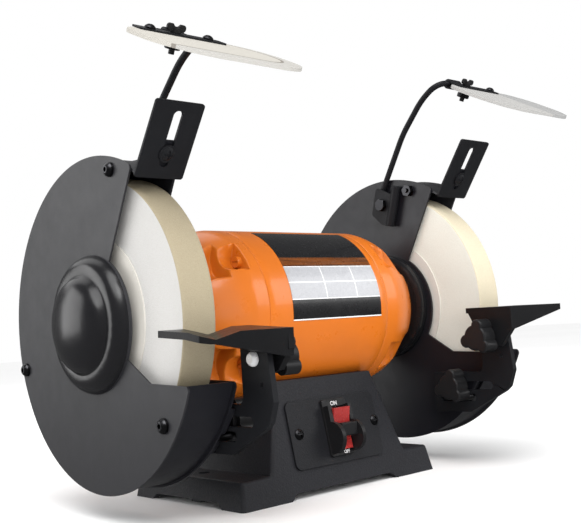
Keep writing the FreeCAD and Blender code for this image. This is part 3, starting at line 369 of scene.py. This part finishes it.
NODE_MAT = {
    "base_pedestal": "base", "bottom_cover": "black", "panel_screws": "dark", "switch_plate": "panel", "switch_body": "plastic", "start_capacitor": "can", "cord_gland": "gland",
    "motor_shell": "orange", "left_end_bell": "orange", "right_end_bell": "orange", "housing_through_bolts": "orange", "motor_base_bolts": "zinc", "stator_core": "core",
    "stator_windings": "copper", "bearing_outer_races": "bright", "bearing_ball_cages": "bright", "bearing_inner_races": "bright", "rating_plate": "label",
    "left_inner_guard": "guard", "right_inner_guard": "guard", "left_guard_cover": "cover", "right_guard_cover": "cover", "guard_cover_bolts": "bolt", "guard_mount_screws": "zinc",
    "rest_guide_pins": "dark", "spark_deflector_screws": "black", "shield_clamp_bolts": "dark", "arbor_shaft": "ground", "rotor_core": "core", "wheel_flanges": "ground",
    "left_grinding_wheel": "side_l", "right_grinding_wheel": "side_r", "wheel_blotters": "paper", "arbor_nuts": "zinc", "switch_rocker": "rocker", "switch_key": "plastic",
}
for s in ("left", "right"):
    NODE_MAT.update({s + "_spark_deflector": "black", s + "_rest_bracket": "black", s + "_tool_rest": "rest", s + "_rest_pivot_bolt": "pin", s + "_rest_tilt_knob": "plastic",
                     s + "_rest_slide_knob": "plastic", s + "_shield_arm": "black", s + "_rod_clamp": "black", s + "_shield_bracket": "black", s + "_eye_shield": "shield_" + s[0],
                     s + "_shield_screws": "dark", s + "_shield_thumbscrew": "plastic"})
for n, o in NODES.items():
    o.data.materials.clear()
    o.data.materials.append(MATS[NODE_MAT[n]])


# ------------------------------------------------------------------ mesh helpers
def make(name, verts, faces, mat, body, node=None, smooth=40.0, mats=None):
    me = bpy.data.meshes.new(name)
    me.from_pydata([tuple(c * MM for c in v) for v in verts], [], faces)
    me.validate()
    for mm in (mats or [mat]):
        me.materials.append(MATS[mm])
    o = bpy.data.objects.new(name, me)
    scene.collection.objects.link(o)
    shade(o, smooth)
    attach(o, body)
    if node:
        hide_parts(node)
    return o


def shade(o, angle):
    me = o.data
    for p in me.polygons:
        p.use_smooth = True
    me.set_sharp_from_angle(angle=math.radians(angle))


def bake(o):
    """Applies the object's modifiers to its mesh."""
    dg = bpy.context.evaluated_depsgraph_get()
    me = bpy.data.meshes.new_from_object(o.evaluated_get(dg))
    o.modifiers.clear()
    old = o.data
    o.data = me
    bpy.data.meshes.remove(old)
    return o


def refine(node, width=0.35, segs=2, ang=30.0, mat=None, smooth=35.0):
    """A node's own shape with its edges broken, as a new piece."""
    src = NODES[node].data
    bm = bmesh.new()
    bm.from_mesh(src)
    bmesh.ops.remove_doubles(bm, verts=bm.verts, dist=2e-6)
    bmesh.ops.dissolve_limit(bm, angle_limit=math.radians(0.4), verts=bm.verts, edges=bm.edges)
    bm.verts.index_update()
    verts = [tuple(v.co) for v in bm.verts]
    faces = [[v.index for v in f.verts] for f in bm.faces]
    bm.free()
    me = bpy.data.meshes.new(node + "_skin")
    me.from_pydata(verts, [], faces)
    me.validate()
    me.materials.append(MATS[mat or NODE_MAT[node]])
    o = bpy.data.objects.new(node + "_skin", me)
    scene.collection.objects.link(o)
    b = o.modifiers.new("edge", "BEVEL")
    b.width = width * MM
    b.segments = segs
    b.limit_method = "ANGLE"
    b.angle_limit = math.radians(ang)
    b.use_clamp_overlap = True
    b.miter_outer = "MITER_ARC"
    bake(o)
    shade(o, smooth)
    wn = o.modifiers.new("flat", "WEIGHTED_NORMAL")
    wn.mode = "FACE_AREA"
    wn.weight = 100
    wn.keep_sharp = True
    bake(o)
    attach(o, BODY[node])
    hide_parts(node)
    return o


# ------------------------------------------------------------------ turned pieces
def rings(loops, closed_prof, side=1):
    """Joins equal rings of points into quads; closed_prof joins the last ring to the first."""
    n = len(loops[0])
    verts = [p for lp in loops for p in lp]
    faces = []
    m = len(loops)
    for i in range(m if closed_prof else m - 1):
        a, b = i * n, ((i + 1) % m) * n
        for j in range(n):
            k = (j + 1) % n
            f = [a + j, a + k, b + k, b + j]
            faces.append(f if side > 0 else f[::-1])
    return verts, faces


def fix_normals(o):
    bm = bmesh.new()
    bm.from_mesh(o.data)
    bmesh.ops.recalc_face_normals(bm, faces=bm.faces)
    bm.to_mesh(o.data)
    bm.free()


def ring_x(x, r, n, cy=0.0, cz=0.0, side=1):
    return [(side * x, cy + r * math.cos(2 * math.pi * j / n), H + cz + r * math.sin(2 * math.pi * j / n)) for j in range(n)]


def arc(cx, cr, rad, a0, a1, n):
    """Points of a rounded corner in a turned profile."""
    return [(cx + rad * math.cos(math.radians(a0 + (a1 - a0) * i / n)), cr + rad * math.sin(math.radians(a0 + (a1 - a0) * i / n))) for i in range(n + 1)]


def wheel(side, node):
    x0, x1, R, bore = 137.6, 162.6, 100.0, 7.94
    e = 0.9
    prof = [(x0, bore), (x0, 30.0), (x0, 60.0), (x0, 80.0), (x0, 92.0), (x0, 97.5)]
    prof += arc(x0 + e, R - e, e, 180, 90, 4)
    prof += [(x0 + 4.0, R), (x0 + 8.5, R), (x0 + 12.5, R), (x0 + 16.5, R), (x1 - 4.0, R)]
    prof += arc(x1 - e, R - e, e, 90, 0, 4)
    prof += [(x1, 97.5), (x1, 92.0), (x1, 80.0), (x1, 60.0), (x1, 30.0), (x1, bore)]
    n = 192
    v, f = rings([ring_x(x, r, n, side=side) for x, r in prof], True, side)
    o = make(node + "_body", v, f, None, "spindle", node, 35.0, mats=["side_" + node[0], "rim_" + node[0]])
    m = len(prof)
    rim = [i for i in range(m) if prof[i][1] > 98.3 and prof[(i + 1) % m][1] > 98.3]
    for i in rim:
        for j in range(n):
            o.data.polygons[i * n + j].material_index = 1
    fix_normals(o)
    return o


wheel(-1, "left_grinding_wheel")
wheel(1, "right_grinding_wheel")


def bell_r(x):
    u = min(1.0, max(0.0, (x - 73.15) / 48.06))
    return 65.0 - 33.67 * (1.0 - (1.0 - u ** 1.53) ** (1.0 / 1.53))


def soft_min(a, b, k):
    h = max(0.0, k - abs(a - b)) / k
    return min(a, b) - h * h * k * 0.25


def channel(th, centre, axis_r, rad):
    d = (th - centre + 180.0) % 360.0 - 180.0
    if abs(d) > 60:
        return 1e3
    d = math.radians(d)
    q = rad * rad - (axis_r * math.sin(d)) ** 2
    if q <= 0:
        over = abs(axis_r * math.sin(d)) - rad
        return axis_r * math.cos(d) + over * 3.0
    return axis_r * math.cos(d) - math.sqrt(q)


TIES = (40.0, 140.0, 220.0, 320.0)


LEDGE = ((-1.0, 0.0), (-0.6, 0.01), (-0.3, 0.04), (-0.08, 0.12), (0.0, 0.5), (0.08, 0.9), (0.3, 0.97), (0.7, 0.995), (1.2, 1.0))


def ledge(d):
    """Steep wall with rounded lips across a step at zero."""
    return 0.0 if d <= LEDGE[0][0] else lerp_table(LEDGE, d)


def bell_skin(x, th):
    r = bell_r(x) if x < 120.2 else (31.9 if x < 121.0 else 31.5)
    if x <= 71.0:
        return r
    g = ledge(x - 72.0)
    if x < 112.0:
        fl = 52.05 + 0.237 * (x - 72.0)
        for c in TIES:
            ch = channel(th, c, fl + 12.5 * 1.028, 12.5)
            if ch < r + 4.0:
                r = r - (r - soft_min(r, ch, 2.4)) * g
    if x > 87.0:
        h = ledge(x - 88.0)
        for c in TIES:
            ch = channel(th, c, 59.0, 14.0)
            if ch < r + 4.0:
                r = r - (r - soft_min(r, max(ch, 33.0), 2.0)) * h
    return r


BELL_CAV = [(61.9, 60.5), (73, 60.0), (80, 58.6), (85, 56.8), (90, 54.5), (95, 51.6), (100, 48.2), (104, 44.8), (107, 41.0)]


def lerp_table(tab, x):
    if x <= tab[0][0]:
        return tab[0][1]
    for (xa, ya), (xb, yb) in zip(tab, tab[1:]):
        if x <= xb:
            return ya + (yb - ya) * (x - xa) / (xb - xa)
    return tab[-1][1]


def bell(side, node):
    th = []
    for c in (0.0, 90.0, 180.0, 270.0):
        th += [c + i * 1.0 for i in range(90)]
    ca = [math.cos(math.radians(t)) for t in th]
    sa = [math.sin(math.radians(t)) for t in th]
    xs = [62.0, 62.15, 62.5, 64, 67, 69.5, 71.0, 71.4, 71.7, 71.92, 72.0, 72.08, 72.3, 72.7, 73.2, 74.0, 75.0, 76.5]
    x = 78.0
    while x < 118.5:
        if not 86.9 < x < 89.3:
            xs.append(x)
        x += 1.25
    xs = sorted(xs + [88.0 + d for d, g in LEDGE])
    xs += [118.8, 119.4, 120.0, 120.6, 121.0, 121.4, 123.0, 124.6, 125.0]
    lip = {62.0: 0.45, 62.15: 0.12, 125.0: 0.5, 124.6: 0.08}
    loops, outer = [], []
    for x in xs:
        rr = [bell_skin(x, t) - lip.get(x, 0.0) for t in th]
        outer.append(rr)
        loops.append([(side * x, r * c, H + r * s) for r, c, s in zip(rr, ca, sa)])
    loops.append([(side * 125.0, 10.6 * c, H + 10.6 * s) for c, s in zip(ca, sa)])
    loops.append([(side * 118.0, 10.6 * c, H + 10.6 * s) for c, s in zip(ca, sa)])
    loops.append([(side * 118.0, 23.5 * c, H + 23.5 * s) for c, s in zip(ca, sa)])
    loops.append([(side * 104.0, 23.5 * c, H + 23.5 * s) for c, s in zip(ca, sa)])
    loops.append([(side * 103.0, 28.5 * c, H + 28.5 * s) for c, s in zip(ca, sa)])
    for x in (107.0, 104.0, 100.0, 95.0, 90.0, 85.0, 80.0, 76.5, 74.0, 72.7, 71.0, 67.0, 62.0):
        row = []
        for t, c, s in zip(th, ca, sa):
            r = min(lerp_table(BELL_CAV, x), bell_skin(max(x, 73.2) if 69.0 < x < 73.0 else x, t) - 3.2)
            row.append((side * x, r * c, H + r * s))
        loops.append(row)
    v, f = rings(loops, True, side)
    o = make(node + "_casting", v, f, "orange", "frame", node, 50.0)
    fix_normals(o)
    return o


bell(-1, "left_end_bell")
bell(1, "right_end_bell")


def shell():
    prof = [(-62.0, 60.5), (-62.0, 64.5), (-61.88, 64.85), (-61.6, 65.0), (-55.0, 65.0), (-40.0, 65.0), (-20.0, 65.0), (0.0, 65.0), (20.0, 65.0), (40.0, 65.0), (55.0, 65.0),
            (61.6, 65.0), (61.88, 64.85), (62.0, 64.5), (62.0, 60.5)]
    v, f = rings([ring_x(x, r, 256) for x, r in prof], True)
    o = make("motor_shell_tube", v, f, "orange", "frame", "motor_shell", 40.0)
    fix_normals(o)


shell()

for n, wd, sg in (("base_pedestal", 0.9, 3), ("bottom_cover", 0.4, 2), ("switch_plate", 0.35, 2), ("switch_body", 0.35, 2), ("switch_rocker", 0.45, 3), ("switch_key", 0.5, 3),
                  ("left_tool_rest", 0.7, 3), ("right_tool_rest", 0.7, 3), ("left_rest_bracket", 0.5, 2), ("right_rest_bracket", 0.5, 2), ("left_spark_deflector", 0.3, 2),
                  ("right_spark_deflector", 0.3, 2), ("left_guard_cover", 0.35, 2), ("right_guard_cover", 0.35, 2), ("left_inner_guard", 0.3, 2), ("right_inner_guard", 0.3, 2),
                  ("left_rest_tilt_knob", 0.6, 3), ("right_rest_tilt_knob", 0.6, 3), ("left_rest_slide_knob", 0.6, 3), ("right_rest_slide_knob", 0.6, 3), ("left_rod_clamp", 0.3, 2),
                  ("right_rod_clamp", 0.3, 2), ("left_shield_bracket", 0.2, 2), ("right_shield_bracket", 0.2, 2), ("left_eye_shield", 0.5, 3), ("right_eye_shield", 0.5, 3),
                  ("left_shield_thumbscrew", 0.4, 2), ("right_shield_thumbscrew", 0.4, 2), ("shield_clamp_bolts", 0.25, 2), ("guard_cover_bolts", 0.2, 2), ("panel_screws", 0.2, 2),
                  ("left_rest_pivot_bolt", 0.25, 2), ("right_rest_pivot_bolt", 0.25, 2), ("spark_deflector_screws", 0.2, 2), ("housing_through_bolts", 0.25, 2), ("cord_gland", 0.3, 2)):
    refine(n, wd, sg)

FACE = math.hypot(17.2, 84.5)
ES = Vector((0.0, 17.2 / FACE, 84.5 / FACE))
EN = Vector((0.0, -ES.z, ES.y))


def mark(name, text, x, s, n, size):
    """Raised print on the switch bezel."""
    cu = bpy.data.curves.new(name, "FONT")
    cu.body = text
    cu.size = size * MM
    cu.extrude = 0.05 * MM
    cu.offset = 0.06 * MM
    cu.resolution_u = 4
    cu.align_x = "CENTER"
    cu.align_y = "CENTER"
    t = bpy.data.objects.new(name + "_curve", cu)
    scene.collection.objects.link(t)
    dg = bpy.context.evaluated_depsgraph_get()
    me = bpy.data.meshes.new_from_object(t.evaluated_get(dg))
    bpy.data.objects.remove(t)
    bpy.data.curves.remove(cu)
    org = Vector((x, -68.0, 0.0)) * MM + ES * (s * MM) + EN * (n * MM)
    me.transform(Matrix(((1, ES.x, EN.x, org.x), (0, ES.y, EN.y, org.y), (0, ES.z, EN.z, org.z), (0, 0, 0, 1))))
    me.materials.clear()
    me.materials.append(MATS["mark"])
    o = bpy.data.objects.new(name, me)
    scene.collection.objects.link(o)
    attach(o, "frame")


mark("switch_mark_upper", "ON", -0.4, 64.4, 4.03, 4.4)
mark("switch_mark_lower", "OFF", 3.3, 27.3, 4.03, 3.4)

# ------------------------------------------------------------------ camera, light, floor
def make_camera():
    yaw, pit, rol = 0.730237658, 0.0698947, -0.0678043
    d = Vector((math.sin(yaw) * math.cos(pit), math.cos(yaw) * math.cos(pit), math.sin(pit)))
    r = Vector((math.cos(yaw), -math.sin(yaw), 0.0))
    u = r.cross(d)
    r2 = math.cos(rol) * r + math.sin(rol) * u
    u2 = -math.sin(rol) * r + math.cos(rol) * u
    cam = bpy.data.cameras.new("camera")
    cam.lens = 927.115 / 581.0 * 36.0
    cam.sensor_width = 36.0
    cam.sensor_fit = "HORIZONTAL"
    cam.clip_start, cam.clip_end = 0.01, 50.0
    o = bpy.data.objects.new("camera", cam)
    scene.collection.objects.link(o)
    m = Matrix((( r2.x, u2.x, -d.x, -0.493476), (r2.y, u2.y, -d.y, -0.571875), (r2.z, u2.z, -d.z, 0.124066), (0, 0, 0, 1)))
    o.matrix_world = m
    scene.camera = o


def area(name, loc, target, size, power, col=(1, 1, 1), size_y=None):
    li = bpy.data.lights.new(name, "AREA")
    li.energy = power
    li.color = col
    li.size = size
    if size_y:
        li.shape = "RECTANGLE"
        li.size_y = size_y
    o = bpy.data.objects.new(name, li)
    scene.collection.objects.link(o)
    o.location = loc
    o.rotation_mode = "QUATERNION"
    o.rotation_quaternion = (Vector(target) - Vector(loc)).to_track_quat("-Z", "Y")
    return o


make_camera()
w = bpy.data.worlds.new("studio")
scene.world = w
w.use_nodes = True
wt = w.node_tree
bg = wt.nodes["Background"]
bg.inputs[0].default_value = (1.0, 1.0, 1.0, 1.0)
bg.inputs[1].default_value = 0.42
sky = wt.nodes.new("ShaderNodeBackground")
sky.inputs[0].default_value = (1.0, 1.0, 1.0, 1.0)
sky.inputs[1].default_value = 1.0
lp = wt.nodes.new("ShaderNodeLightPath")
mx = wt.nodes.new("ShaderNodeMixShader")
wt.links.new(lp.outputs["Is Camera Ray"], mx.inputs[0])
wt.links.new(bg.outputs[0], mx.inputs[1])
wt.links.new(sky.outputs[0], mx.inputs[2])
dim = wt.nodes.new("ShaderNodeBackground")
dim.inputs[0].default_value = (1.0, 1.0, 1.0, 1.0)
dim.inputs[1].default_value = 0.14
mg = wt.nodes.new("ShaderNodeMixShader")
wt.links.new(lp.outputs["Is Glossy Ray"], mg.inputs[0])
wt.links.new(mx.outputs[0], mg.inputs[1])
wt.links.new(dim.outputs[0], mg.inputs[2])
wt.links.new(mg.outputs[0], wt.nodes["World Output"].inputs[0])
sun = bpy.data.lights.new("sun", "SUN")
sun.energy = 2.35
sun.angle = math.radians(50.0)
so = bpy.data.objects.new("sun", sun)
scene.collection.objects.link(so)
so.rotation_mode = "QUATERNION"
so.rotation_quaternion = Vector((0.45, 0.45, -1.0)).to_track_quat("-Z", "Y")
area("side", (-1.21, 1.03, 0.50), (-0.19, 0, 0.15), 1.05, 10.0)
area("back", (0.0, 1.20, 1.40), (0, 0, 0.14), 1.6, 9.0)
area("key", (-0.75, -1.0, 1.35), (0, 0, 0.14), 0.6, 4.0)
area("fill", (1.25, -1.3, 0.8), (0, 0, 0.14), 0.9, 8.0)
front = area("front", (-0.45, -1.15, 0.42), (0.05, 0, 0.12), 0.9, 6.0)
front.visible_glossy = False
low = area("low", (-0.30, -0.95, 0.05), (0.05, 0, 0.10), 0.5, 1.7)
low.visible_glossy = False
scene.view_settings.view_transform = "Standard"

fm = Mat("pale_floor")
fm.base(fm.ramp(fm.noise(1.2, 3.0), [(0.2, (0.90, 0.90, 0.90)), (0.8, (0.94, 0.94, 0.94))]))
fm.set(rough=0.9, spec=0.1)
fme = bpy.data.meshes.new("floor")
fme.from_pydata([(-6, -6, 0), (6, -6, 0), (6, 6, 0), (-6, 6, 0)], [], [(0, 1, 2, 3)])
fme.materials.append(fm.m)
floor = bpy.data.objects.new("floor", fme)
scene.collection.objects.link(floor)
floor.visible_glossy = False
